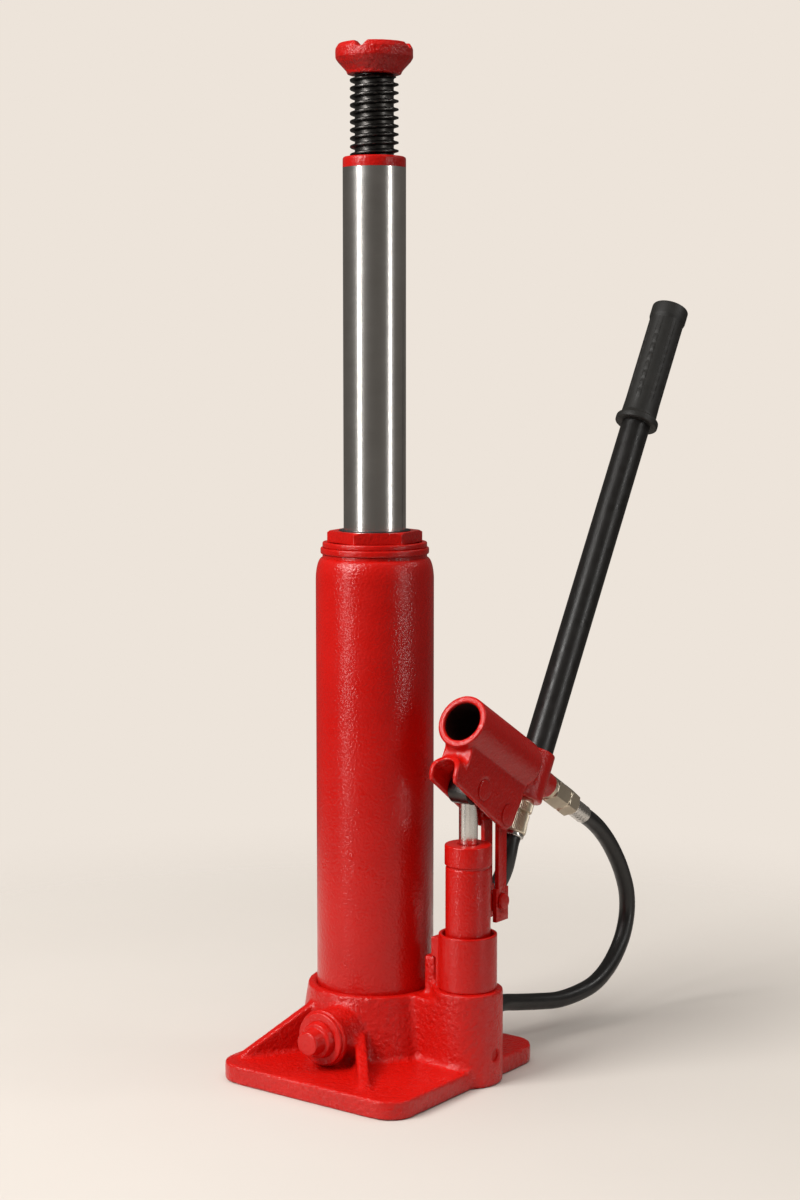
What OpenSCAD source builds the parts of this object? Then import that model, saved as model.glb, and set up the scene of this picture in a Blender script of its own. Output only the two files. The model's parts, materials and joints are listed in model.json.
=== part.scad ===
// Long-ram hydraulic bottle jack, drawn nearly fully raised.
// Frame: origin on the ram axis at the ground, +X towards the hand pump,
// -Y towards the release valve, +Z up.  Millimetres.

/* [Base] */
// Width of the base plate, left to right
base_w = 181; // [170:1:220]
// Depth of the base plate, front to rear
base_d = 199; // [185:1:240]
// Distance from the ram axis to the left edge of the plate
base_left = 70; // [66:1:84]
// Distance from the ram axis to the front edge of the plate
base_front = 121; // [112:1:146]
// Thickness of the base plate
plate_t = 15; // [10:1:20]
// Corner radius of the base plate
plate_corner_r = 22; // [12:1:26]
// Height of the collar that holds the reservoir tube
collar_top = 66; // [60:1:80]
// Radius of the collar at its foot
collar_foot_r = 63; // [60:1:74]
// Metal left outside the reservoir tube at the top of the collar
collar_lip = 7; // [5:0.5:10]
// Thickness of the two gusset ribs
rib_t = 9; // [6:1:14]
// How far forward the rib tips reach from the ram axis
rib_reach = 104; // [90:1:108]

/* [Reservoir] */
// Outer radius of the reservoir tube
tank_r = 47.5; // [44:0.5:57]
// Wall of the reservoir tube
tank_wall = 3; // [2:0.5:4]
// Height of the top of the reservoir tube above the ground
tank_top = 416; // [350:1:500]
// Radius of the necked top of the tube
neck_r = 42; // [40:0.5:43]
// Height of the rounded shoulder
shoulder_h = 21; // [14:1:30]
// Inner radius of the pressure cylinder
cylinder_bore_r = 29; // [28:0.5:31]
// Wall of the pressure cylinder
cylinder_wall = 5; // [4:0.5:6]

/* [Ram] */
// Radius of the ram
ram_r = 25; // [21:0.5:25]
// Length of the ram tube
ram_len = 340; // [320:1:400]
// How far the ram stands out of the gland nut
ram_out = 286; // [240:1:300]
// Height of the red ring on top of the ram
ram_collar_h = 8.5; // [6:0.5:12]
// Radius over the crests of the extension screw
screw_r = 19.2; // [16:0.1:19.2]
// Depth of the thread
thread_depth = 3.8; // [2:0.1:4.5]
// Thread pitch
pitch = 6.4; // [4:0.2:8]
// Length of screw showing above the ram
screw_out = 63; // [50:1:90]
// Length of screw inside the ram
screw_in = 67; // [60:1:75]
// Radius of the saddle
saddle_r = 30.5; // [26:0.5:36]
// Height of the saddle above the screw
saddle_h = 24; // [20:1:30]

/* [Pump] */
// Distance from the ram axis to the pump axis
pump_x = 92; // [88:1:110]
// Radius of the pump boss on the base
boss_r = 28; // [27:0.5:34]
// Height of the pump boss
boss_top = 75; // [70:1:90]
// Outer radius of the pump sleeve nut
sleeve_r = 23.25; // [22:0.25:26]
// Height of the pump sleeve nut
sleeve_h = 44; // [36:1:50]
// Outer radius of the pump cylinder
pump_r = 18; // [16:0.5:20]
// Height of the top of the pump cap above the ground
cap_top = 190.8; // [180:0.1:195]
// Height of the pump cap
cap_h = 18.6; // [12:0.1:24]
// Radius of the plunger
plunger_r = 7.5; // [6:0.5:8.5]
// Stroke of the plunger down from this position
plunger_stroke = 25; // [20:1:28]

/* [Rocker] */
// Height of the fulcrum pin above the ground
pivot_z = 209.5; // [205:0.5:220]
// Distance from the pump axis back to the fulcrum pin
pivot_y = 36; // [34:0.5:42]
// Slope of the handle socket
socket_tilt = 30; // [20:1:40]
// Inner radius of the handle socket
socket_bore_r = 16; // [12:0.5:17]
// Outer radius of the handle socket
socket_r = 21.5; // [20:0.5:24]
// Length of the handle socket ahead of the fulcrum
socket_front = 80; // [70:1:100]
// Height of the socket axis above the fulcrum, square to the socket
socket_up = 47; // [44:1:54]
// Half the width over the two clevis cheeks
clevis_half = 13.5; // [13:0.5:16]
// Thickness of each clevis cheek
cheek_t = 4.5; // [3.5:0.5:4.5]
// Distance from the fulcrum to the plunger pin, along the socket
arm_along = 40.5; // [38:0.5:44]
// Distance from the fulcrum to the plunger pin, square to the socket
arm_up = 5.6; // [4:0.1:7]
// Radius of the plunger pin and the fulcrum pin
pin_r = 6; // [4.5:0.5:6.5]
// Distance between the two pins of the link
link_len = 71; // [64:0.5:78]
// Radius of the lower link pin
lower_pin_r = 5; // [4:0.5:6]
// Thickness of each link strap
strap_t = 3.6; // [2.5:0.1:4]
// Width of each link strap
strap_w = 11.4; // [10:0.2:14]

/* [Handle] */
// Radius of the handle tube
handle_r = 12.5; // [10:0.5:13]
// Wall of the handle tube
handle_wall = 2; // [1.5:0.5:3]
// Distance from the fulcrum to the top of the grip, along the handle
handle_end = 488; // [400:1:600]
// Outer radius of the rubber grip
grip_r = 16; // [15:0.5:19]
// Length of the rubber grip
grip_len = 116; // [100:1:140]

/* [Hoses and release valve] */
// Radius of the hydraulic hose
hose_r = 7; // [5:0.5:7]
// Radius of the release valve flange
valve_flange_r = 22.5; // [18:0.5:25]
// Radius of the release valve stem
valve_stem_r = 10.5; // [8:0.5:12]
// Sideways offset of the release valve from the ram axis
valve_x = 9; // [0:1:15]
// Height of the release valve above the ground
valve_z = 38; // [37:1:46]
// Distance from the ram axis to the front of the release valve flange
valve_front = 85; // [82:1:100]

/* [Hidden] */

$fn = 64;
// Radial clearance of a running fit
run_fit = 0.06;
// Radial clearance of a seal or a wiper on a moving face
seal_fit = 0.08;
// Side clearance between flat moving parts
side_gap = 0.4;
// Length by which a cut passes beyond a face
cut = 1;
// Length of a cut made to pass right through
through = 200;

red = [0.78, 0.06, 0.04];
steel = [0.72, 0.72, 0.73];
dark_steel = [0.16, 0.15, 0.15];
black = [0.05, 0.05, 0.05];
nickel = [0.55, 0.49, 0.40];
copper = [0.72, 0.42, 0.25];

// Base
base_right = base_w - base_left;
base_rear = base_d - base_front;
collar_top_r = tank_r + collar_lip;
web_start = 20;
web_start_half = 13;
web_draw_in = 0.6;
left_rib = [[-24, -46], [-60, -rib_reach]];
right_rib = [[20, -48], [72, -rib_reach - 5]];
rib_top = collar_top - 9;
collar_flare = 2;
seat_fit = 0.1;
tank_bottom = collar_top - 14;
gasket_t = 2;
sump_z = 32;
sump_r = tank_r - 2;
filler_z = tank_top - shoulder_h - 45;
filler_r = 6;
cylinder_out_r = cylinder_bore_r + cylinder_wall;
cylinder_bottom = sump_z - 4;
washer_t = 2;
pad_front = 14;
pad_w = 25;
pad_h = 31;
pad_x = pump_x + boss_r - 3;
lug_gap = 1;
lug_x = tank_r + 10;
lug_half = 12;
lug_top = boss_top + 23;
sleeve_tab_r = sleeve_r + 4;
port_block = [54, 88, 46, 52];
port_x = 70;
port_z = 38;
rise_x = 62;
rise_y = 34;
adapter_r = 11;
adapter_h = 10;
ferrule_r = 9;
ferrule_h = 14;
adapter_spigot_r = 6;
adapter_spigot_h = 8;

// Gland at the top of the reservoir
ring_h = 5;
gland_ring_h = 4.4;
gland_ring_r = neck_r;
top_ring_r = neck_r + 1.6;
gland_r = neck_r - 3.6;
gland_h = 9;
gland_turn = -18.6;
gland_spigot_r = neck_r - tank_wall - 1;
gland_spigot_h = 16;
gland_top = tank_top + ring_h + gland_ring_h + gland_h;
cylinder_top = tank_top + ring_h + gland_ring_h - gland_spigot_h;
wiper_h = 4;
wiper_w = 3.5;

// Ram
ram_top = gland_top + ram_out;
ram_bottom = ram_top - ram_len;
collar_seat = ram_top;
screw_base = ram_top + ram_collar_h;
screw_top = screw_base + screw_out;
ram_bore_r = screw_r + side_gap;
ram_bore_depth = screw_in + screw_out + 10;
screw_root_r = screw_r - thread_depth;
piston_h = 18;
piston_groove_h = 6;
piston_groove_d = 4;
piston_spigot_r = 12;
piston_spigot_h = 10;
piston_bolt_r = 5;
piston_bolt_in = 30;
piston_bolt_head_h = 6;
piston_ring_z = 3;
spigot_r = 9;
spigot_h = 14;
saddle_bottom = screw_top;
saddle_top = saddle_bottom + saddle_h;
saddle_rim_h = 14;
saddle_dish_r = saddle_r - 9;
saddle_dish_d = 5;
notch_d = 4.5;
notch_w = 12;
notch_turns = [15, 105];

// Pump
pump_top = cap_top - 4;
pump_seat = boss_top - 25;
pump_spigot_r = pump_r - 2;
sleeve_cup_r = pump_r + 2.4;
sleeve_cup_d = 8;
pump_cap_r = pump_r + 0.7;
cap_skirt_wall = 1.7;
cap_skirt_in = pump_r - cap_skirt_wall + 0.7;
cap_lead = 1.5;
plunger_bottom = 108;
chamber_z = plunger_bottom - plunger_stroke - 6;
packing_h = 8;
packing_w = 3.5;
lug_t = 2 * (clevis_half - cheek_t - side_gap - strap_t - side_gap);
lower_pin_z = pivot_z - link_len;
valve_bore_r = 4;
ball_r = 3.6;
spring_r = 3.2;
wire_r = 0.5;
passage_r = 2.5;
passage_z = 24;
delivery_x = cylinder_bore_r - 7;
suction_x = sump_r - 6;
suction_y = 10;
suction_z = passage_z + 14;
relief_x = 18;
relief_y = 18;
relief_bore_top = 21.5;
relief_spring_h = 6.5;
relief_ball_r = 3.2;
relief_way_r = 2;
hex_key_r = 2.5;
hex_key_depth = 4;
plug_r = 5;
plug_len = 8;
plug_sink = 1;

// Rocker, in its own frame: origin at the fulcrum, +Y along the socket to the
// rear, +Z square to the socket
slot_half = clevis_half - cheek_t;
neck_half = 8.5;
slot_roof = arm_up + 16;
slot_front = -socket_front + 18;
arch_z = 5;
arch_top = arch_z + clevis_half;
neck_y = -socket_front + 7;
neck_z = 22;
pins = [[0, 0], [-arm_along, arm_up]];
oil_way_r = 5;
pipe_bore_r = 2.5;
clip_t = 1.2;
clip_mouth = 4.2;
pivot_boss_r = 12;
socket_rear = 14;
sleeve_y = 35.5;
tee_r = handle_r + 2.5;
tee_bottom = socket_up - 22;
tee_top = socket_up + 20;
tee_floor = tee_bottom + 8;
port_stub_r = 11;
port_reach = 26;
port_stub_end = sleeve_y + port_reach;
socket_depth = socket_front + 8;
head_r = 8.8;
head_t = 1.2;
crescent_r = 9.6;
crescent_d = 1;
yoke_half = slot_half - side_gap;
yoke_play = 0.8;
yoke_wall = 4;
yoke_front = 12;
yoke_back = 13;
arm_z = arm_along * sin(socket_tilt) + arm_up * cos(socket_tilt);
strap_in = lug_t / 2 + side_gap;
strap_end_r = 8.5;
strap_foot = 16;
strap_shoulder = 11;
coupling_r = 9.6;
coupling_neck_r = 8.4;
coupling_h = 27;
coupling_nut_h = 9;
coupling_top = tee_bottom - 2;
coupling_end = coupling_top - coupling_h;
coupling_ring_h = 3.5;
nut_flat = 10.4;
nut_len = 46;
nut_start = port_stub_end;
nut_end = nut_start + nut_len;
hose_ferrule_len = 22;
loop_ferrule_r = 7.9;
plug_in = 8;

// Grip
grip_start = handle_end - grip_len;
grip_body_r = grip_r - 1;
flange_h = 5;
grip_cap = 5;

// Release valve
flange_t = 7;
valve_face = valve_front - flange_t;
valve_boss_r = 18;
valve_bore = 8;
valve_seat_y = 46;
seat_depth = 8;
gland_thread_len = 14;
valve_rod_r = valve_bore - 2.5;
stem_len = 16;
stem_boss_r = 15;
stem_boss_t = 5;

// Routes of the two hoses, from the base to the rocker
lower_route = [[62, 34, 76], [62, 34, 86], [63, 36, 97], [64, 41, 108],
    [67, 47, 118], [72, 52, 128], [78, 56, 138], [83, 58, 148], [88, 58, 159],
    [91, 58, 170], [92, 60, 180], [92, 63, 185.2]];
loop_route = [[70, 70, 38], [70, 84, 38], [72, 104, 34], [76, 126, 30],
    [82, 149, 27], [87, 171, 28], [91, 192, 32], [92, 212, 40], [92, 229, 52],
    [92, 241, 67], [92, 247, 85], [92, 246, 103], [92, 239, 120],
    [92, 229, 136], [92, 215, 153], [92, 200, 167], [92, 186, 177.1],
    [92, 171.7, 185.4]];

function unit(v) = v / norm(v);
function heading(p, i) =
    unit(p[min(i + 1, len(p) - 1)] - p[max(i - 1, 0)]);
function ring_point(c, t, r, a) =
    let (side = unit(cross(t, [1, 0, 0])), up = cross(side, t))
    c + r * cos(a) * side + r * sin(a) * up;

// Tube of radius r with flat ends along the points of route
module tube_along(route, r, sides = 10) {
    rings = len(route);
    points = [for (i = [0 : rings - 1]) for (k = [0 : sides - 1])
        ring_point(route[i], heading(route, i), r, 360 * k / sides)];
    walls = [for (i = [0 : rings - 2]) for (k = [0 : sides - 1])
        let (a = i * sides + k, b = i * sides + (k + 1) % sides)
        each [[a, b, a + sides], [b, b + sides, a + sides]]];
    first = [for (k = [sides - 1 : -1 : 0]) k];
    last = [for (k = [0 : sides - 1]) (rings - 1) * sides + k];
    polyhedron(points, concat(walls, [first, last]));
}

module ring(outer_r, inner_r, h) {
    difference() {
        cylinder(r = outer_r, h = h);
        translate([0, 0, -cut]) cylinder(r = inner_r, h = h + 2 * cut);
    }
}

module rounded_plate(left, right, front, rear, r, h) {
    linear_extrude(h) union() {
        translate([-left + r, -front]) square([left + right - 2 * r, front + rear]);
        translate([-left, -front + r]) square([left + right, front + rear - 2 * r]);
        for (x = [-left + r, right - r]) for (y = [-front + r, rear - r])
            translate([x, y]) circle(r);
    }
}

// Children move to the pump axis
module at_pump() {
    translate([pump_x, 0, 0]) children();
}

// Children move to the rocker's frame
module at_rocker() {
    translate([pump_x, pivot_y, pivot_z]) rotate([-socket_tilt, 0, 0]) children();
}

// Children lie along X, centred
module across() {
    rotate([0, 90, 0]) children();
}

// Children point along +Y
module backwards() {
    rotate([-90, 0, 0]) children();
}

// Gusset standing on the plate from start to tip, top_z high at its start
module gusset(start, tip, top_z) {
    run = tip - start;
    translate([start[0], start[1], 0]) rotate([0, 0, atan2(run[1], run[0])])
        rotate([90, 0, 0]) translate([0, 0, -rib_t / 2]) linear_extrude(rib_t)
            polygon([[0, plate_t - cut], [norm(run), plate_t - cut],
                [norm(run), plate_t + 1], [0, top_z]]);
}

// Web between the collar and the pump boss, widening towards the boss
module pump_web() {
    far = pump_x - 6;
    half = boss_r - web_draw_in;
    linear_extrude(collar_top) polygon([[web_start, -web_start_half], [far, -half],
        [far, half], [web_start, web_start_half]]);
}

module base_casting() {
    color(red) difference() {
        union() {
            rounded_plate(base_left, base_right, base_front, base_rear,
                plate_corner_r, plate_t);
            cylinder(r1 = collar_foot_r + collar_flare, r2 = collar_top_r, h = collar_top);
            at_pump() cylinder(r = boss_r, h = boss_top);
            pump_web();
            translate([pump_x, -pad_front, 0]) cube([pad_x - pump_x, pad_w, pad_h]);
            translate([lug_x, -lug_half, plate_t])
                cube([pump_x - sleeve_r - lug_gap - lug_x, 2 * lug_half, lug_top - plate_t]);
            translate([port_block[0], 0, 0])
                cube([port_block[1] - port_block[0], port_block[2], port_block[3]]);
            gusset(left_rib[0], left_rib[1], rib_top);
            gusset(right_rib[0], right_rib[1], valve_z + 6);
            translate([valve_x, -valve_face, valve_z]) backwards()
                cylinder(r1 = valve_boss_r, r2 = valve_boss_r + 3, h = valve_face - sump_z);
        }
        // Seats of the reservoir tube, the oil space and the pressure cylinder
        translate([0, 0, tank_bottom - gasket_t])
            cylinder(r = tank_r + seat_fit, h = through);
        translate([0, 0, sump_z]) cylinder(r = sump_r, h = collar_top);
        translate([0, 0, cylinder_bottom - washer_t])
            cylinder(r = cylinder_out_r + seat_fit, h = collar_top);
        // Seat of the pump cylinder and its valve chamber
        at_pump() {
            translate([0, 0, pump_seat])
                cylinder(r = pump_spigot_r + seat_fit, h = collar_top);
            translate([0, 0, passage_z]) cylinder(r = valve_bore_r, h = collar_top);
        }
        // Delivery passage, pump to pressure cylinder
        translate([delivery_x, 0, passage_z]) across()
            cylinder(r = passage_r, h = pump_x - delivery_x);
        translate([delivery_x, 0, passage_z]) cylinder(r = passage_r, h = sump_z);
        // Suction passage, reservoir to pump, closed at its outer end by a plug
        translate([suction_x, suction_y, suction_z]) across()
            cylinder(r = passage_r, h = pump_x - suction_x);
        // Cross drilling of the pump boss, closed by a plug
        translate([pump_x, 0, passage_z]) across()
            cylinder(r = passage_r, h = boss_r + cut);
        translate([pad_x - plug_len, 0, passage_z]) across()
            cylinder(r = plug_r, h = plug_len + boss_r);
        // Release valve bore and its seat
        translate([valve_x, -valve_face - cut, valve_z]) backwards()
            cylinder(r = valve_bore, h = valve_face - valve_seat_y + cut);
        translate([valve_x, -valve_seat_y - cut, valve_z]) backwards()
            cylinder(r = valve_bore_r, h = seat_depth);
        // Overload valve, drilled from below
        translate([relief_x, relief_y, -cut]) {
            cylinder(r = plug_r, h = plug_len + cut);
            cylinder(r = valve_bore_r, h = relief_bore_top + cut);
            cylinder(r = relief_way_r, h = sump_z);
        }
        // Spot face of the upper hose port
        translate([rise_x, rise_y, port_block[3]]) cylinder(r = adapter_r + 1, h = through);
        // Hose ports
        translate([port_x, port_block[2] - adapter_spigot_h, port_z]) backwards()
            cylinder(r = adapter_spigot_r, h = adapter_spigot_h + cut);
        translate([rise_x, rise_y, port_block[3] - adapter_spigot_h])
            cylinder(r = adapter_spigot_r, h = adapter_spigot_h + cut);
    }
}

module reservoir_tube() {
    inner_r = tank_r - tank_wall;
    neck_in = neck_r - tank_wall;
    shoulder_z = tank_top - shoulder_h;
    drop = tank_r - neck_r;
    color(red) difference() {
        rotate_extrude() polygon([
            [inner_r, tank_bottom], [tank_r, tank_bottom],
            for (a = [0 : 15 : 90])
                [neck_r + drop * cos(a), shoulder_z + (shoulder_h - 3) * sin(a)],
            [neck_r, tank_top], [neck_in, tank_top],
            for (a = [90 : -15 : 0])
                [neck_in + drop * cos(a), shoulder_z - 1 + (shoulder_h - 3) * sin(a)]]);
        translate([0, 0, filler_z]) backwards() cylinder(r = filler_r, h = 2 * tank_r);
    }
}

module tank_gasket() {
    color(black) translate([0, 0, tank_bottom - gasket_t])
        ring(tank_r, tank_r - tank_wall, gasket_t);
}

module pressure_cylinder() {
    color(steel) translate([0, 0, cylinder_bottom])
        ring(cylinder_out_r, cylinder_bore_r, cylinder_top - cylinder_bottom);
}

module cylinder_washer() {
    color(copper) translate([0, 0, cylinder_bottom - washer_t])
        ring(cylinder_out_r, cylinder_bore_r, washer_t);
}

module tank_top_ring() {
    lip = 1.2;
    color(red) translate([0, 0, tank_top]) rotate_extrude() polygon([
        [gland_spigot_r + seat_fit, 0], [top_ring_r - lip, 0], [top_ring_r, lip],
        [top_ring_r, ring_h - lip], [top_ring_r - lip, ring_h],
        [gland_spigot_r + seat_fit, ring_h]]);
}

module gland_ring() {
    lip = 1.2;
    color(red) translate([0, 0, tank_top + ring_h]) rotate_extrude() polygon([
        [gland_spigot_r + seat_fit, 0], [gland_ring_r - lip, 0], [gland_ring_r, lip],
        [gland_ring_r, gland_ring_h - lip], [gland_ring_r - lip, gland_ring_h],
        [gland_spigot_r + seat_fit, gland_ring_h]]);
}

module gland_nut() {
    spigot_z = gland_top - gland_h - gland_spigot_h;
    color(red) difference() {
        union() {
            translate([0, 0, gland_top - gland_h]) rotate([0, 0, gland_turn])
                cylinder(r = gland_r, h = gland_h, $fn = 6);
            translate([0, 0, spigot_z]) cylinder(r = gland_spigot_r, h = gland_spigot_h + cut);
        }
        translate([0, 0, spigot_z - cut]) cylinder(r = ram_r + run_fit, h = through);
        translate([0, 0, gland_top - wiper_h]) cylinder(r = ram_r + wiper_w, h = through);
    }
}

module ram_wiper() {
    color(black) translate([0, 0, gland_top - wiper_h])
        ring(ram_r + wiper_w, ram_r + seal_fit, wiper_h + 0.6);
}

module oil_filler_plug() {
    color(black) translate([0, tank_r, filler_z]) backwards() {
        translate([0, 0, -tank_wall - 3]) cylinder(r = filler_r, h = tank_wall + 4);
        translate([0, 0, 0.1]) cylinder(r1 = filler_r + 3, r2 = filler_r + 2, h = 3.5);
        translate([0, 0, 3]) cylinder(r = filler_r - 2, h = 2.2);
    }
}

module suction_strainer() {
    mesh_h = 6.5;
    stem_r = passage_r - seat_fit;
    color(steel) translate([cylinder_out_r + 0.6, suction_y, suction_z]) across() {
        difference() {
            cylinder(r = 5, h = mesh_h);
            translate([0, 0, -cut]) cylinder(r = 4, h = mesh_h);
        }
        translate([0, 0, mesh_h - cut])
            cylinder(r = stem_r, h = sump_r + 4 - cylinder_out_r - mesh_h);
    }
}

module passage_plugs() {
    end_plug_len = 6;
    color(red) {
        translate([pad_x - plug_len, 0, passage_z]) across() cylinder(r = plug_r, h = plug_len);
        translate([pump_x - end_plug_len - 2, suction_y, suction_z]) across()
            cylinder(r = passage_r, h = end_plug_len);
    }
}

module relief_screw() {
    color(dark_steel) translate([relief_x, relief_y, plug_sink]) difference() {
        cylinder(r = plug_r, h = plug_len - plug_sink);
        translate([0, 0, -cut]) cylinder(r = hex_key_r, h = hex_key_depth + cut, $fn = 6);
    }
}

// Coil drawn as a stack of rings between z = 0 and z = h
module coil(r, h, turns) {
    step = (h - 2 * wire_r) / turns;
    for (i = [0 : turns]) translate([0, 0, wire_r + i * step])
        rotate_extrude() translate([r - wire_r, 0]) circle(wire_r, $fn = 16);
}

module relief_spring() {
    color(steel) translate([relief_x, relief_y, plug_len]) coil(spring_r, relief_spring_h, 5);
}

module check_balls() {
    color(steel) {
        translate([relief_x, relief_y, plug_len + relief_spring_h + relief_ball_r])
            sphere(r = relief_ball_r);
        at_pump() translate([0, 0, passage_z + ball_r + 3]) sphere(r = ball_r);
        at_pump() translate([0, 0, pump_seat - ball_r - 0.4]) sphere(r = ball_r);
    }
}

module check_springs() {
    low = passage_z + 2 * ball_r + 3.1;
    high = pump_seat - 2 * ball_r - 0.5;
    color(steel) at_pump() translate([0, 0, low]) coil(spring_r, high - low, 4);
}

module pump_cylinder() {
    lug_r = 7.5;
    color(red) difference() {
        union() {
            at_pump() {
                translate([0, 0, pump_seat])
                    cylinder(r = pump_spigot_r, h = boss_top - pump_seat);
                translate([0, 0, boss_top]) cylinder(r = pump_r, h = cap_top - cap_h - boss_top);
                translate([0, 0, cap_top - cap_h - cut])
                    cylinder(r = cap_skirt_in, h = pump_top - cap_top + cap_h + cut);
            }
            translate([pump_x - lug_t / 2, pump_r - 6, lower_pin_z - lug_r])
                cube([lug_t, pivot_y - pump_r + 6, 2 * lug_r]);
            translate([pump_x - lug_t / 2, pivot_y, lower_pin_z]) across()
                cylinder(r = lug_r, h = lug_t);
        }
        at_pump() {
            translate([0, 0, chamber_z]) cylinder(r = plunger_r + run_fit, h = through);
            translate([0, 0, pump_seat - cut]) cylinder(r = passage_r, h = through);
            translate([0, 0, pump_top - packing_h])
                cylinder(r = plunger_r + packing_w, h = packing_h + cut);
        }
        translate([pump_x - lug_t, pivot_y, lower_pin_z]) across()
            cylinder(r = lower_pin_r, h = 2 * lug_t);
    }
}

module pump_sleeve() {
    color(red) at_pump() translate([0, 0, boss_top]) difference() {
        union() {
            cylinder(r = sleeve_r, h = sleeve_h);
            translate([-sleeve_tab_r, -lug_half, 0])
                cube([sleeve_tab_r - sleeve_r + 8, 2 * lug_half, sleeve_h - 5]);
        }
        translate([0, 0, -cut]) cylinder(r = pump_r, h = through);
        translate([0, 0, sleeve_h - sleeve_cup_d]) cylinder(r = sleeve_cup_r, h = through);
        // Clears the lug on the base
        translate([-sleeve_tab_r - cut, -lug_half - cut, -cut])
            cube([sleeve_tab_r - sleeve_r + cut, 2 * (lug_half + cut),
                lug_top - boss_top + cut]);
    }
}

module pump_cap() {
    color(red) at_pump() translate([0, 0, cap_top - cap_h]) difference() {
        rotate_extrude() polygon([[0, 0], [pump_r - 0.6, 0], [pump_r - 0.6, 1.4],
            [pump_cap_r, 3], [pump_cap_r, cap_h - 1], [pump_cap_r - 1, cap_h], [0, cap_h]]);
        translate([0, 0, -cut]) cylinder(r = cap_skirt_in, h = pump_top - cap_top + cap_h + cut);
        translate([0, 0, -cut]) cylinder(r = plunger_r + run_fit, h = through);
        translate([0, 0, cap_h - cap_lead]) cylinder(r1 = plunger_r, r2 = plunger_r + cap_lead + cut,
            h = cap_lead + cut);
    }
}

module plunger_packing() {
    color(black) at_pump() translate([0, 0, pump_top - packing_h])
        ring(plunger_r + packing_w, plunger_r + seal_fit, packing_h);
}

module link_lower_pin() {
    pin_half = strap_in + strap_t + side_gap;
    color(red) translate([pump_x, pivot_y, lower_pin_z]) across() {
        translate([0, 0, -pin_half - 3]) cylinder(r = lower_pin_r, h = 2 * pin_half + 3);
        translate([0, 0, pin_half]) cylinder(r1 = lower_pin_r + 1.8, r2 = lower_pin_r + 0.8, h = 2.6);
    }
}

module lower_pin_clip() {
    color(steel) translate([pump_x - strap_in - strap_t - side_gap - clip_t, pivot_y, lower_pin_z])
        across() difference() {
            cylinder(r = lower_pin_r + 2.2, h = clip_t);
            translate([0, 0, -cut]) cylinder(r = lower_pin_r, h = clip_t + 2 * cut);
            translate([0, -clip_mouth / 2, -cut]) cube([through, clip_mouth, clip_t + 2 * cut]);
        }
}

module release_gland() {
    color(red) translate([valve_x, -valve_face - flange_t, valve_z]) backwards()
        difference() {
            union() {
                cylinder(r = valve_flange_r - 1.5, h = flange_t / 2);
                translate([0, 0, flange_t / 2]) cylinder(r = valve_flange_r, h = flange_t / 2);
                translate([0, 0, flange_t]) cylinder(r = valve_bore, h = gland_thread_len);
            }
            translate([0, 0, -cut]) cylinder(r = valve_rod_r + run_fit, h = through);
        }
}

module release_seal() {
    color(black) translate([valve_x, -valve_face + gland_thread_len + 0.2, valve_z])
        backwards() ring(valve_bore - seat_fit, valve_rod_r + seal_fit, 3);
}

module release_ball() {
    color(steel) translate([valve_x, -valve_seat_y + 1, valve_z]) sphere(r = ball_r);
}

module release_valve_screw() {
    rod_end = -valve_seat_y - ball_r + 0.6;
    rod_start = -valve_face - flange_t;
    color(red) translate([valve_x, rod_start, valve_z]) backwards() {
        translate([0, 0, -stem_boss_t]) cylinder(r = valve_rod_r, h = rod_end - rod_start + stem_boss_t);
        translate([0, 0, -stem_boss_t - side_gap])
            cylinder(r1 = stem_boss_r - 1.5, r2 = stem_boss_r, h = stem_boss_t);
        translate([0, 0, -stem_len - side_gap])
            cylinder(r1 = valve_stem_r - 1.2, r2 = valve_stem_r, h = stem_len - stem_boss_t + cut);
    }
}

module base_hose_adapters() {
    color(nickel) {
        translate([port_x, port_block[2], port_z]) backwards() {
            cylinder(r = adapter_r, h = adapter_h, $fn = 6);
            translate([0, 0, 1 - adapter_spigot_h])
                ring(adapter_spigot_r, adapter_spigot_r - 3, adapter_spigot_h);
        }
        translate([rise_x, rise_y, port_block[3]]) {
            cylinder(r = adapter_r, h = adapter_h, $fn = 6);
            translate([0, 0, 1 - adapter_spigot_h])
                ring(adapter_spigot_r, adapter_spigot_r - 3, adapter_spigot_h);
        }
    }
}

module base_hose_ferrules() {
    color(steel) {
        translate([port_x, port_block[2] + adapter_h, port_z]) backwards()
            cylinder(r1 = ferrule_r - 1, r2 = ferrule_r, h = ferrule_h);
        translate([rise_x, rise_y, port_block[3] + adapter_h])
            cylinder(r1 = ferrule_r - 1, r2 = ferrule_r, h = ferrule_h);
    }
}

module loop_hose() {
    color(black) tube_along(loop_route, hose_r);
}

module lower_hose() {
    color(black) tube_along(lower_route, hose_r);
}

module ram() {
    color(steel) difference() {
        translate([0, 0, ram_bottom]) cylinder(r = ram_r, h = ram_len);
        translate([0, 0, ram_top - ram_bore_depth]) cylinder(r = ram_bore_r, h = through);
        translate([0, 0, ram_bottom - cut]) cylinder(r = piston_spigot_r, h = piston_spigot_h + cut);
        translate([0, 0, ram_bottom]) cylinder(r = piston_bolt_r, h = piston_bolt_in + 10);
    }
}

module ram_collar() {
    edge = 1.8;
    color(red) translate([0, 0, collar_seat]) rotate_extrude() polygon([
        [ram_bore_r, 0], [ram_r, 0], [ram_r, ram_collar_h - edge],
        for (a = [30, 60]) [ram_r - edge + edge * cos(a), ram_collar_h - edge + edge * sin(a)],
        [ram_r - edge, ram_collar_h], [ram_bore_r, ram_collar_h]]);
}

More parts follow.
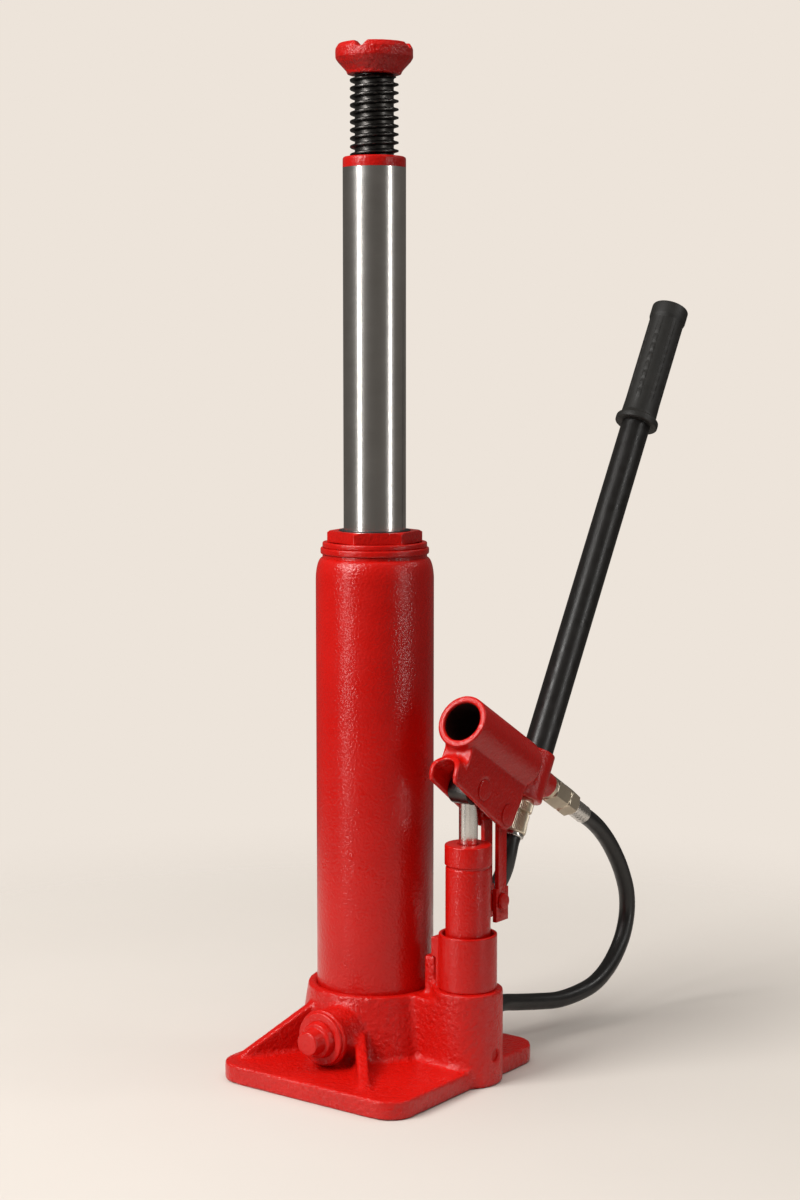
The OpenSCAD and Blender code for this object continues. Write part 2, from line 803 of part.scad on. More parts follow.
module ram_piston() {
    piston_r = cylinder_bore_r - run_fit;
    color(steel) translate([0, 0, ram_bottom - piston_h]) difference() {
        union() {
            cylinder(r = piston_r, h = piston_h);
            cylinder(r = piston_spigot_r, h = piston_h + piston_spigot_h);
        }
        translate([0, 0, piston_ring_z])
            ring(piston_r + cut, piston_r - piston_groove_d, piston_groove_h);
        translate([0, 0, -cut]) cylinder(r = piston_bolt_r, h = through);
        translate([0, 0, -cut]) cylinder(r = piston_bolt_r + 3.5, h = piston_bolt_head_h + cut);
    }
}

module piston_seal() {
    seal_out = cylinder_bore_r - seal_fit;
    color(black) translate([0, 0, ram_bottom - piston_h + piston_ring_z])
        ring(seal_out, cylinder_bore_r - run_fit - piston_groove_d, piston_groove_h);
}

module piston_bolt() {
    color(dark_steel) translate([0, 0, ram_bottom - piston_h]) difference() {
        union() {
            cylinder(r = piston_bolt_r + 3.2, h = piston_bolt_head_h);
            cylinder(r = piston_bolt_r, h = piston_h + piston_bolt_in);
        }
        translate([0, 0, -cut]) cylinder(r = 4, h = hex_key_depth + cut, $fn = 6);
    }
}

module extension_screw() {
    turns = floor((screw_in + screw_out - 6) / pitch);
    bottom = screw_base - screw_in;
    land = pitch * 0.2;
    color(dark_steel) rotate_extrude() polygon([[0, bottom], [screw_root_r, bottom],
        for (i = [0 : turns - 1])
            let (z = bottom + 2 + i * pitch)
            each [[screw_root_r, z], [screw_r, z + pitch / 2 - land / 2],
                [screw_r, z + pitch / 2 + land / 2], [screw_root_r, z + pitch - land]],
        [screw_root_r, screw_top], [spigot_r - run_fit, screw_top],
        [spigot_r - run_fit, screw_top + spigot_h], [0, screw_top + spigot_h]]);
}

module saddle() {
    foot_r = 21;
    notch_floor = 4;
    rim_z = saddle_top - saddle_rim_h;
    color(red) difference() {
        rotate_extrude() polygon([[0, saddle_bottom + side_gap], [foot_r, saddle_bottom + side_gap],
            [foot_r + 1, saddle_bottom + 3], [saddle_r - 2, rim_z], [saddle_r, rim_z + 3],
            [saddle_r, saddle_top - 4], [saddle_r - 2.5, saddle_top], [0, saddle_top]]);
        translate([0, 0, saddle_top - saddle_dish_d])
            cylinder(r1 = saddle_dish_r - 3, r2 = saddle_dish_r, h = saddle_dish_d + cut);
        translate([0, 0, saddle_bottom - cut]) cylinder(r = spigot_r, h = spigot_h + side_gap + cut);
        for (a = notch_turns) rotate([90, 0, a])
            translate([0, 0, -saddle_r - cut]) linear_extrude(2 * (saddle_r + cut))
                polygon([[-notch_w / 2, saddle_top + cut], [-notch_floor / 2, saddle_top - notch_d],
                    [notch_floor / 2, saddle_top - notch_d], [notch_w / 2, saddle_top + cut]]);
    }
}

// Side outline of the clevis block below the socket
module clevis_outline() {
    lip = -socket_front - 4;
    circle(r = pivot_boss_r);
    polygon([[lip + 4, -4], [lip + 1, 0], [lip, 6], [lip + 1, 11], [lip + 5, arch_top],
        [neck_y, neck_z], [neck_y - 1, socket_up], [socket_rear, socket_up], [socket_rear, 18],
        [pivot_boss_r, 0], [0, -pivot_boss_r]]);
}

// What is cut from a block to leave a round arch of radius r at its front
module front_arch(w, r) {
    translate([0, neck_y - through, arch_z]) difference() {
        translate([-w, 0, 0]) cube([2 * w, through, arch_top + r]);
        translate([0, -cut, 0]) backwards() cylinder(r = r, h = through + 2 * cut);
    }
}

module rocker_socket() {
    color(red) at_rocker() difference() {
        union() {
            translate([0, -socket_front, socket_up]) backwards()
                cylinder(r = socket_r, h = socket_front + socket_rear);
            translate([0, socket_rear, socket_up]) backwards()
                cylinder(r1 = socket_r, r2 = socket_r - 5, h = 8);
            difference() {
                translate([-clevis_half, 0, 0]) rotate([90, 0, 90])
                    linear_extrude(2 * clevis_half) clevis_outline();
                front_arch(2 * clevis_half, clevis_half);
            }
            translate([0, sleeve_y, tee_bottom]) cylinder(r = tee_r, h = tee_top - tee_bottom);
            translate([0, sleeve_y, socket_up]) backwards()
                cylinder(r = port_stub_r, h = port_stub_end - sleeve_y);
            translate([-neck_half, 0, tee_bottom + 2])
                cube([2 * neck_half, sleeve_y, socket_up - tee_bottom]);
        }
        // Handle socket, open at its mouth
        translate([0, -socket_front - cut, socket_up]) backwards()
            cylinder(r = socket_bore_r, h = socket_depth + cut);
        // Space between the cheeks, with an arch at its front
        translate([-slot_half, slot_front, slot_roof - through])
            cube([2 * slot_half, through, through]);
        translate([0, slot_front + cut - through, 0]) {
            translate([0, 0, arch_z]) backwards() cylinder(r = slot_half, h = through);
            translate([-slot_half, 0, arch_z - through]) cube([2 * slot_half, through, through]);
        }
        // Pin holes
        for (p = pins) translate([-clevis_half - cut, p[0], p[1]]) across()
            cylinder(r = pin_r, h = 2 * (clevis_half + cut));
        translate([clevis_half - crescent_d, -arm_along - 0.9, arm_up]) across()
            cylinder(r = crescent_r, h = crescent_d + cut);
        // Seat of the handle tube and oil ways of the tee
        translate([0, sleeve_y, tee_floor]) cylinder(r = handle_r, h = through);
        translate([0, sleeve_y, tee_bottom - cut]) cylinder(r = oil_way_r, h = through);
        translate([0, sleeve_y, socket_up]) backwards() cylinder(r = oil_way_r, h = through);
    }
}

// Pin across the clevis with a flush head on the +X side
module clevis_pin(head) {
    across() {
        translate([0, 0, -clevis_half - 3]) cylinder(r = pin_r, h = 2 * clevis_half + 3);
        translate([0, 0, clevis_half - (head < head_r ? crescent_d : 0)])
            cylinder(r1 = head, r2 = head - 0.5, h = head_t);
    }
}

module plunger_pin() {
    color(red) at_rocker() translate([0, -arm_along, arm_up]) clevis_pin(head_r - 0.3);
}

module fulcrum_pin() {
    color(red) at_rocker() clevis_pin(head_r);
}

module pin_clips() {
    color(steel) at_rocker() for (p = pins)
        translate([-clevis_half - clip_t - 0.2, p[0], p[1]]) across() difference() {
            cylinder(r = pin_r + 2.4, h = clip_t);
            translate([0, 0, -cut]) cylinder(r = pin_r, h = clip_t + 2 * cut);
            translate([0, -clip_mouth / 2, -cut]) cube([through, clip_mouth, clip_t + 2 * cut]);
        }
}

module handle_tube() {
    color(black) at_rocker() translate([0, sleeve_y, tee_floor])
        ring(handle_r, handle_r - handle_wall, handle_end - grip_cap - tee_floor);
}

module hand_grip() {
    color(black) at_rocker() translate([0, sleeve_y, grip_start]) difference() {
        rotate_extrude() polygon([[0, 0], [grip_r + 2, 0], [grip_r + 2.6, 1],
            [grip_r + 2.6, flange_h - 1], [grip_r + 1.5, flange_h], [grip_body_r, flange_h + 2],
            [grip_body_r, grip_len - 14], [grip_r, grip_len - 11], [grip_r, grip_len - 3],
            [grip_r - 3, grip_len], [0, grip_len]]);
        translate([0, 0, -cut]) cylinder(r = handle_r, h = grip_len - grip_cap + cut);
    }
}

module knurled_coupling() {
    nut_z = coupling_h - coupling_nut_h;
    color(nickel) at_rocker() translate([0, sleeve_y, coupling_end]) difference() {
        rotate_extrude() polygon([[0, 0], [coupling_r, 0], [coupling_r, 3], [coupling_neck_r, 9],
            [coupling_neck_r, nut_z - 1.5], [coupling_neck_r - 1, nut_z - 1],
            [coupling_neck_r - 1, nut_z], [coupling_r, nut_z], [coupling_r, coupling_h + 2],
            [oil_way_r, coupling_h + 2], [oil_way_r, coupling_h + plug_in],
            [0, coupling_h + plug_in]]);
        translate([0, 0, -cut]) cylinder(r = pipe_bore_r, h = through);
    }
}

module coupling_ring() {
    color(steel) at_rocker() translate([0, sleeve_y, coupling_end - coupling_ring_h])
        rotate_extrude() polygon([[0, 0], [hose_r + 1.4, 0], [hose_r + 1.8, 0.8],
            [hose_r + 1.8, coupling_ring_h], [0, coupling_ring_h]]);
}

module hose_swivel_nut() {
    hex_r = nut_flat / cos(30);
    color(nickel) at_rocker() translate([0, nut_start, socket_up]) backwards() difference() {
        union() {
            cylinder(r1 = nut_flat - 1, r2 = nut_flat, h = 3);
            translate([0, 0, 2]) intersection() {
                rotate([0, 0, 30]) cylinder(r = hex_r, h = nut_len - 4, $fn = 6);
                cylinder(r1 = hex_r + 4, r2 = nut_flat, h = nut_len - 4);
            }
            translate([0, 0, nut_len - 4]) cylinder(r1 = nut_flat - 0.5, r2 = loop_ferrule_r, h = 4);
            translate([0, 0, -plug_in]) cylinder(r = oil_way_r, h = plug_in + cut);
        }
        translate([0, 0, -plug_in - cut]) cylinder(r = pipe_bore_r, h = through);
    }
}

module hose_ferrule() {
    color(steel) at_rocker() translate([0, nut_end, socket_up]) backwards()
        rotate_extrude() polygon([[0, 0], [loop_ferrule_r - 0.6, 0], [loop_ferrule_r - 0.6, 3],
            [loop_ferrule_r, 5], [loop_ferrule_r, hose_ferrule_len - 5],
            [loop_ferrule_r - 0.4, hose_ferrule_len - 3], [loop_ferrule_r, hose_ferrule_len],
            [0, hose_ferrule_len]]);
}

module link_straps() {
    color(red) for (s = [-1, 1])
        translate([pump_x + (s < 0 ? -strap_in - strap_t : strap_in), pivot_y, lower_pin_z])
            rotate([90, 0, 90]) difference() {
                union() {
                    linear_extrude(strap_t) {
                        translate([-strap_w / 2, 0]) square([strap_w, link_len]);
                        translate([-strap_end_r, -strap_foot])
                            square([2 * strap_end_r, strap_foot + strap_shoulder]);
                    }
                    translate([0, link_len, 0]) cylinder(r = strap_end_r, h = strap_t);
                }
                translate([0, 0, -cut]) cylinder(r = lower_pin_r + run_fit, h = strap_t + 2 * cut);
                translate([0, link_len, -cut]) cylinder(r = pin_r + run_fit, h = strap_t + 2 * cut);
            }
}

// Slot of radius r with round ends, from front to back along X
module stadium(front, back, r) {
    translate([front + r, 0]) circle(r);
    translate([back - r, 0]) circle(r);
    translate([front + r, -r]) square([back - front - 2 * r, 2 * r]);
}

module pump_plunger() {
    yoke_z = pivot_z + arm_z;
    slot_r = pin_r + yoke_play;
    color(steel) {
        translate([pump_x, 0, plunger_bottom])
            cylinder(r = plunger_r, h = yoke_z - slot_r - 1 - plunger_bottom);
        translate([pump_x - yoke_half, 0, yoke_z]) rotate([90, 0, 90])
            linear_extrude(2 * yoke_half) difference() {
                stadium(-yoke_front - yoke_wall, yoke_back + yoke_wall, slot_r + yoke_wall);
                stadium(-yoke_front, yoke_back, slot_r);
            }
    }
}

base_casting();
reservoir_tube();
pressure_cylinder();
tank_gasket();
cylinder_washer();
gland_nut();
tank_top_ring();
gland_ring();
ram_wiper();
oil_filler_plug();
suction_strainer();
passage_plugs();
check_balls();
check_springs();
relief_spring();
relief_screw();
pump_cylinder();
pump_sleeve();
pump_cap();
plunger_packing();
link_lower_pin();
lower_pin_clip();
release_gland();
release_seal();
release_ball();
release_valve_screw();
base_hose_adapters();
base_hose_ferrules();
loop_hose();
lower_hose();
ram();
ram_collar();
ram_piston();
piston_seal();
piston_bolt();
saddle();
extension_screw();
rocker_socket();
plunger_pin();
fulcrum_pin();
pin_clips();
handle_tube();
hand_grip();
knurled_coupling();
coupling_ring();
hose_swivel_nut();
hose_ferrule();
link_straps();
pump_plunger();
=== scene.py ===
"""Long-ram hydraulic bottle jack: looks, hoses, floor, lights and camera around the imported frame."""

import math

import bmesh
import bpy
from mathutils import Matrix, Vector, noise
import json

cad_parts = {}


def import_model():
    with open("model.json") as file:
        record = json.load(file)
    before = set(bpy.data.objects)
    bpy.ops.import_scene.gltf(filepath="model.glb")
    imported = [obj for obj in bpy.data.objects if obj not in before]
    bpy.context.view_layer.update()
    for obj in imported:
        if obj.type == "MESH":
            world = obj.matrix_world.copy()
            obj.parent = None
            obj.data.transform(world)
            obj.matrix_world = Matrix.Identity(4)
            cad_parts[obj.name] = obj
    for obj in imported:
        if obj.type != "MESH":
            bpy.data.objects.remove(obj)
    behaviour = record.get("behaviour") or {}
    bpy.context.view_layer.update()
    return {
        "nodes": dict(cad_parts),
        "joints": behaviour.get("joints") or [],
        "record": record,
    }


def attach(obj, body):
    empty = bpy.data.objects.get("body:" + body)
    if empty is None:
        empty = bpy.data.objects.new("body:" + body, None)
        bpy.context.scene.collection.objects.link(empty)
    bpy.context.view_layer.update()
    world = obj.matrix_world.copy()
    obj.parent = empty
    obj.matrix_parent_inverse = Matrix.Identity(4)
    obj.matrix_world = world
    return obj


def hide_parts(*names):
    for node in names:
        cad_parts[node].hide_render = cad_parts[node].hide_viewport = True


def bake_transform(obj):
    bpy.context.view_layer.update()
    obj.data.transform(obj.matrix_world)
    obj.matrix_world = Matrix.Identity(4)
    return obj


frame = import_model()

MM = 0.001
TURN = 2 * math.pi

# ---------------------------------------------------------------- places taken from the frame

JOINTS = {joint["name"]: joint for joint in frame["joints"]}
FULCRUM = Vector(JOINTS["rocker_pump"]["pos_m"])
SOCKET = next(m for m in frame["record"]["mounts"] if m["name"] == "handle_socket")
SOCKET_AXIS = Vector(SOCKET["axis"])
# The rocker's own frame: origin at the fulcrum, +Y to the rear along the socket, +Z square to it
ROCKER = Matrix.Translation(FULCRUM) @ SOCKET_AXIS.to_track_quat("-Y", "Z").to_matrix().to_4x4()
PUMP_X = FULCRUM.x / MM
# The handle's place along the socket and the socket's height over the fulcrum, in mm
HANDLE_Y = 35.5
SOCKET_Z = 47.0

HANDLE = ROCKER @ Matrix.Translation((0, HANDLE_Y * MM, 0))
PORT = ROCKER @ Matrix.Translation((0, 0, SOCKET_Z * MM)) @ Matrix.Rotation(-TURN / 4, 4, "X")
PUMP = Matrix.Translation((PUMP_X * MM, 0, 0))
VALVE = Matrix.Translation(JOINTS["release_turn"]["pos_m"]) @ Matrix.Rotation(TURN / 4, 4, "X")
UPRIGHT = Matrix.Identity(4)


def span(node, place=UPRIGHT):
    """Lowest and highest point of a CAD node along the z of a frame, in mm."""
    piece = frame["nodes"][node]
    turned = place.inverted() @ piece.matrix_world
    heights = [(turned @ vertex.co).z / MM for vertex in piece.data.vertices]
    return min(heights), max(heights)


# ---------------------------------------------------------------- camera

CAMERA_TURN = math.radians(36.4)
CAMERA_PITCH = math.radians(6.32)
CAMERA_DISTANCE = 1.768
CAMERA_HEIGHT = 0.574
CAMERA_SHIFT_RIGHT = 0.0202
CAMERA_LENS = 66.36
CAMERA_SENSOR = 36


def make_camera():
    """Camera at the stated place, turned to the jack and tilted down."""
    right = Vector((math.cos(CAMERA_TURN), math.sin(CAMERA_TURN), 0))
    away = Vector((-math.sin(CAMERA_TURN), math.cos(CAMERA_TURN), 0))
    data = bpy.data.cameras.new("camera")
    data.lens = CAMERA_LENS
    data.sensor_width = CAMERA_SENSOR
    camera = bpy.data.objects.new("camera", data)
    bpy.context.collection.objects.link(camera)
    camera.location = CAMERA_SHIFT_RIGHT * right - CAMERA_DISTANCE * away
    camera.location.z = CAMERA_HEIGHT
    looking = away * math.cos(CAMERA_PITCH) - Vector((0, 0, math.sin(CAMERA_PITCH)))
    camera.rotation_euler = looking.to_track_quat("-Z", "Y").to_euler()
    bpy.context.scene.camera = camera


make_camera()

# ---------------------------------------------------------------- mesh helpers

WELD = 1e-6
CAD_WELD = 1e-5
FLAT_WITHIN = 1
SMOOTH_UNDER = 50
GRAIN_COARSE = 4
GRAIN_FINE = 1.8


def mesh_object(name, points, faces, place=None, sharp=40):
    """Mesh from points in mm, moved by place, smooth except at edges over sharp degrees."""
    mesh = bpy.data.meshes.new(name)
    mesh.from_pydata([Vector(p) * MM for p in points], [], faces)
    mesh.validate()
    tidy = bmesh.new()
    tidy.from_mesh(mesh)
    bmesh.ops.remove_doubles(tidy, verts=tidy.verts, dist=WELD)
    bmesh.ops.recalc_face_normals(tidy, faces=tidy.faces)
    tidy.to_mesh(mesh)
    tidy.free()
    if place is not None:
        mesh.transform(place)
    mesh.shade_smooth()
    mesh.set_sharp_from_angle(angle=math.radians(sharp))
    piece = bpy.data.objects.new(name, mesh)
    bpy.context.collection.objects.link(piece)
    return piece


def softened(outline, radius, steps=4):
    """Outline of (r, z) points with its inner corners rounded; a point may carry its own radius."""
    made = []
    last = len(outline) - 1
    for i, point in enumerate(outline):
        here = Vector(point[:2])
        reach = point[2] if len(point) > 2 else radius
        if i in (0, last) or reach <= 0:
            made.append(here)
            continue
        before = Vector(outline[i - 1][:2]) - here
        after = Vector(outline[i + 1][:2]) - here
        start = here + before.normalized() * min(reach, 0.45 * before.length)
        end = here + after.normalized() * min(reach, 0.45 * after.length)
        for k in range(steps + 1):
            t = k / steps
            made.append(start * (1 - t) ** 2 + here * 2 * t * (1 - t) + end * t * t)
    return made


def lathe(name, outline, place=None, radius=0.6, segments=128, shape=None):
    """Turned piece from an outline of (r, z) points in mm; shape may change r round the axis."""
    rows = softened(outline, radius)
    points = []
    for r, z in rows:
        for k in range(segments):
            angle = TURN * k / segments
            grown = r if shape is None else shape(r, angle, z)
            points.append((grown * math.cos(angle), grown * math.sin(angle), z))
    faces = []
    for row in range(len(rows) - 1):
        for k in range(segments):
            a = row * segments + k
            b = row * segments + (k + 1) % segments
            faces.append((a, b, b + segments, a + segments))
    return mesh_object(name, points, faces, place)


def baked(piece):
    """The piece's modifiers are worked into its mesh."""
    bpy.context.view_layer.update()
    graph = bpy.context.evaluated_depsgraph_get()
    mesh = bpy.data.meshes.new_from_object(piece.evaluated_get(graph))
    piece.modifiers.clear()
    piece.data = mesh
    return piece


def copied(name, node):
    """Copy of a CAD node's mesh as a new piece."""
    piece = bpy.data.objects.new(name, frame["nodes"][node].data.copy())
    bpy.context.collection.objects.link(piece)
    tidy = bmesh.new()
    tidy.from_mesh(piece.data)
    bmesh.ops.remove_doubles(tidy, verts=tidy.verts, dist=CAD_WELD)
    tidy.to_mesh(piece.data)
    tidy.free()
    return piece


def remeshed(piece, voxel):
    """Adds an even remesh of this voxel size in mm."""
    remesh = piece.modifiers.new("remesh", "REMESH")
    remesh.mode = "VOXEL"
    remesh.voxel_size = voxel * MM


def grown(piece, depth):
    """Adds an offset along the normals, in mm."""
    grow = piece.modifiers.new("grow", "DISPLACE")
    grow.mid_level = 0
    grow.strength = depth * MM


def casting(name, node, voxel=1.1, rounds=8, roughness=0.0, fillet=0.0):
    """Cast copy of a CAD node: edges rounded and creases filled as sand casting leaves them."""
    piece = copied(name, node)
    remeshed(piece, voxel)
    if fillet:
        grown(piece, fillet)
        remeshed(piece, voxel)
        grown(piece, -fillet)
        remeshed(piece, voxel)
    smooth = piece.modifiers.new("smooth", "SMOOTH")
    smooth.factor = 0.5
    smooth.iterations = rounds
    baked(piece)
    if roughness:
        normals = [vertex.normal.copy() for vertex in piece.data.vertices]
        for vertex, normal in zip(piece.data.vertices, normals):
            coarse = noise.noise(vertex.co / (GRAIN_COARSE * MM))
            fine = noise.noise(vertex.co / (GRAIN_FINE * MM))
            bump = coarse + 0.5 * fine
            vertex.co += normal * bump * roughness * MM
    piece.data.shade_smooth()
    return piece


def bevelled(name, node, width=0.5, segments=3, sharp=35):
    """Copy of a CAD node with its sharp edges broken."""
    piece = copied(name, node)
    tidy = bmesh.new()
    tidy.from_mesh(piece.data)
    bmesh.ops.dissolve_limit(tidy, angle_limit=math.radians(FLAT_WITHIN), verts=tidy.verts,
                             edges=tidy.edges)
    tidy.to_mesh(piece.data)
    tidy.free()
    bevel = piece.modifiers.new("bevel", "BEVEL")
    bevel.width = width * MM
    bevel.segments = segments
    bevel.limit_method = "ANGLE"
    bevel.angle_limit = math.radians(sharp)
    baked(piece)
    piece.data.shade_smooth()
    piece.data.set_sharp_from_angle(angle=math.radians(SMOOTH_UNDER))
    return piece


def finished(piece, body, material, slot, *nodes):
    """Gives the piece its material and puts it on its body in place of its CAD nodes; the slot argument
    is not used.
    """
    piece.data.materials.clear()
    piece.data.materials.append(material)
    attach(piece, body)
    if nodes:
        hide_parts(*nodes)
    return piece


# ---------------------------------------------------------------- materials


class Shade:
    """A material's node tree around one Principled shader, in the row frame's own coordinates."""

    def __init__(self, name, **values):
        self.material = bpy.data.materials.new(name)
        self.material.use_nodes = True
        self.tree = self.material.node_tree
        self.shader = self.tree.nodes["Principled BSDF"]
        for key, value in values.items():
            self.shader.inputs[key.replace("_", " ")].default_value = value
        self.place = self.tree.nodes.new("ShaderNodeTexCoord").outputs["Object"]

    def link(self, source, target):
        self.tree.links.new(source, target)

    def scaled(self, x, y, z):
        node = self.tree.nodes.new("ShaderNodeMapping")
        node.inputs["Scale"].default_value = (x, y, z)
        self.link(self.place, node.inputs["Vector"])
        return node.outputs["Vector"]

    def noise(self, scale, detail=2.0, roughness=0.5, place=None):
        node = self.tree.nodes.new("ShaderNodeTexNoise")
        node.inputs["Scale"].default_value = scale
        node.inputs["Detail"].default_value = detail
        node.inputs["Roughness"].default_value = roughness
        self.link(place or self.place, node.inputs["Vector"])
        return node.outputs["Fac"]

    def cells(self, scale):
        node = self.tree.nodes.new("ShaderNodeTexVoronoi")
        node.feature = "SMOOTH_F1"
        node.inputs["Scale"].default_value = scale
        self.link(self.place, node.inputs["Vector"])
        return node.outputs["Distance"]

    def ramp(self, source, *stops):
        node = self.tree.nodes.new("ShaderNodeValToRGB")
        ends = node.color_ramp.elements
        while len(ends) < len(stops):
            ends.new(0.5)
        for end, (position, colour) in zip(ends, stops):
            end.position = position
            end.color = (*colour, 1)
        self.link(source, node.inputs["Fac"])
        return node.outputs["Color"]

    def ranged(self, source, low, high, start=0.3, end=0.7):
        node = self.tree.nodes.new("ShaderNodeMapRange")
        for key, value in (("From Min", start), ("From Max", end), ("To Min", low), ("To Max", high)):
            node.inputs[key].default_value = value
        self.link(source, node.inputs["Value"])
        return node.outputs["Result"]

    def bump(self, source, strength, depth, before=None):
        node = self.tree.nodes.new("ShaderNodeBump")
        node.inputs["Strength"].default_value = strength
        node.inputs["Distance"].default_value = depth
        self.link(source, node.inputs["Height"])
        if before is not None:
            self.link(before, node.inputs["Normal"])
        return node.outputs["Normal"]

    def colour(self, source):
        self.link(source, self.shader.inputs["Base Color"])

    def roughness(self, source):
        self.link(source, self.shader.inputs["Roughness"])

    def normal(self, source):
        self.link(source, self.shader.inputs["Normal"])
        if self.shader.inputs["Coat Weight"].default_value:
            self.link(source, self.shader.inputs["Coat Normal"])


def enamel(name, grain, grain_size, peel=0.35):
    """Glossy red enamel; grain is the depth in mm of the casting's skin under the paint."""
    shade = Shade(name, Metallic=0.0, IOR=1.45, Specular_IOR_Level=0.25, Coat_Weight=0.35,
                  Coat_Roughness=0.13, Coat_IOR=1.5)
    tone = shade.noise(14, 4, 0.6)
    shade.colour(shade.ramp(tone, (0.3, (0.52, 0.004, 0.002)), (0.7, (0.60, 0.006, 0.003))))
    shade.roughness(shade.ranged(shade.noise(60, 3), 0.26, 0.38))
    orange_peel = shade.bump(shade.noise(480, 2), peel, 0.0005)
    if grain:
        grains = shade.bump(shade.noise(1000 / grain_size, 3, 0.6), 1.0, grain * MM, orange_peel)
        shade.normal(shade.bump(shade.cells(620 / grain_size), 0.6, grain * MM, grains))
    else:
        shade.normal(orange_peel)
    return shade.material


def metal(name, dark, light, rough, smooth, marks=None, bump=0.25, anisotropic=0.0):
    """Bare metal between two colours, with fine marks stretched by the marks scale."""
    shade = Shade(name, Metallic=1.0, Anisotropic=anisotropic)
    place = shade.scaled(*(marks or (1, 1, 1)))
    fine = shade.noise(900 if marks is None else 1, 4, 0.65, place)
    cloud = shade.noise(35, 4, 0.6)
    shade.colour(shade.ramp(cloud, (0.3, dark), (0.7, light)))
    shade.roughness(shade.ranged(fine, smooth, rough))
    shade.normal(shade.bump(fine, bump, 0.00005))
    return shade.material


def rubber(name, tone, rough, grain_size, depth, strength=0.5):
    """Black rubber or plastic with a fine moulded skin."""
    shade = Shade(name, Metallic=0.0, IOR=1.5)
    cloud = shade.noise(40, 4, 0.6)
    low = tuple(c * 0.75 for c in tone)
    shade.colour(shade.ramp(cloud, (0.3, low), (0.7, tone)))
    shade.roughness(shade.ranged(shade.noise(120, 3), rough - 0.06, rough + 0.08))
    shade.normal(shade.bump(shade.noise(1000 / grain_size, 3, 0.6), strength, depth * MM))
    return shade.material


RED_CAST = enamel("red_cast_enamel", 1.1, 2.6)
RED_SMOOTH = enamel("red_smooth_enamel", 0.0, 1.0, peel=1.0)
RED_FINE = enamel("red_fine_cast_enamel", 0.4, 2.0)
GROUND_STEEL = metal("ground_steel", (0.66, 0.64, 0.61), (0.76, 0.74, 0.71), 0.27, 0.19,
                     marks=(60, 60, 2600), bump=0.06)
BRIGHT_STEEL = metal("bright_steel", (0.58, 0.56, 0.53), (0.70, 0.68, 0.65), 0.30, 0.16)
DARK_STEEL = metal("dark_screw_steel", (0.045, 0.042, 0.04), (0.10, 0.095, 0.09), 0.42, 0.26)
NICKEL = metal("warm_nickel", (0.60, 0.52, 0.40), (0.78, 0.69, 0.55), 0.46, 0.32, bump=0.4)
COPPER = metal("copper", (0.55, 0.26, 0.13), (0.65, 0.33, 0.18), 0.4, 0.3)
BLACK_PAINT = rubber("satin_black_paint", (0.014, 0.013, 0.012), 0.34, 1.2, 0.03, 0.25)
GRIP_RUBBER = rubber("grip_rubber", (0.020, 0.019, 0.017), 0.52, 0.8, 0.06, 0.5)
HOSE_RUBBER = rubber("hose_rubber", (0.013, 0.0125, 0.012), 0.36, 1.0, 0.03, 0.3)
# Near-black red-brown for the inside of the socket's bore: painted shade where the bore lies in shadow
BORE_PAINTED_SHADE = rubber("bore_painted_shade", (0.030, 0.007, 0.005), 0.5, 1.4, 0.08, 0.4)
SEAL_RUBBER = rubber("seal_rubber", (0.02, 0.02, 0.02), 0.5, 1.0, 0.02, 0.3)

SLOT_MATERIALS = {
    "red_casting": RED_CAST, "red_tube": RED_SMOOTH, "ram_steel": GROUND_STEEL,
    "bright_steel": BRIGHT_STEEL, "dark_steel": DARK_STEEL, "black_paint": BLACK_PAINT,
    "grip_rubber": GRIP_RUBBER, "hose_rubber": HOSE_RUBBER, "seal_rubber": SEAL_RUBBER,
    "nickel": NICKEL, "copper": COPPER}


def dress_frame():
    """Every CAD node gets the material of its slot."""
    for part in frame["record"]["subparts"]:
        node = frame["nodes"][part["node"]]
        for material_slot in node.material_slots:
            material_slot.material = SLOT_MATERIALS[part["material_slot"]]


dress_frame()

# ---------------------------------------------------------------- hoses

LOWER_ROUTE = [(62, 34, 76), (62, 34, 86), (63, 36, 97), (64, 41, 108),
               (67, 47, 118), (72, 52, 128), (78, 56, 138), (83, 58, 148), (88, 58, 159),
               (91, 58, 170), (92, 60, 180), (92, 63, 185.2)]
LOOP_ROUTE = [(70, 70, 38), (70, 84, 38), (72, 104, 34), (76, 126, 30),
              (82, 149, 27), (87, 171, 28), (91, 192, 32), (92, 212, 40), (92, 229, 52),
              (92, 241, 67), (92, 247, 85), (92, 246, 103), (92, 239, 120),
              (92, 229, 136), (92, 215, 153), (92, 200, 167), (92, 186, 177.1),
              (92, 171.7, 185.4)]
HOSE_R = 7.0
HOSE_SIDES = 32


def smooth_route(route, steps=8):
    """Catmull-Rom curve through the route's points."""
    spots = [Vector(p) for p in route]
    ends = [2 * spots[0] - spots[1]] + spots + [2 * spots[-1] - spots[-2]]
    made = []
    for i in range(len(spots) - 1):
        a, b, c, d = ends[i:i + 4]
        for k in range(steps):
            t = k / steps
            made.append(0.5 * (2 * b + (c - a) * t + (2 * a - 5 * b + 4 * c - d) * t * t
                               + (3 * b - a - 3 * c + d) * t ** 3))
    return made + [spots[-1]]


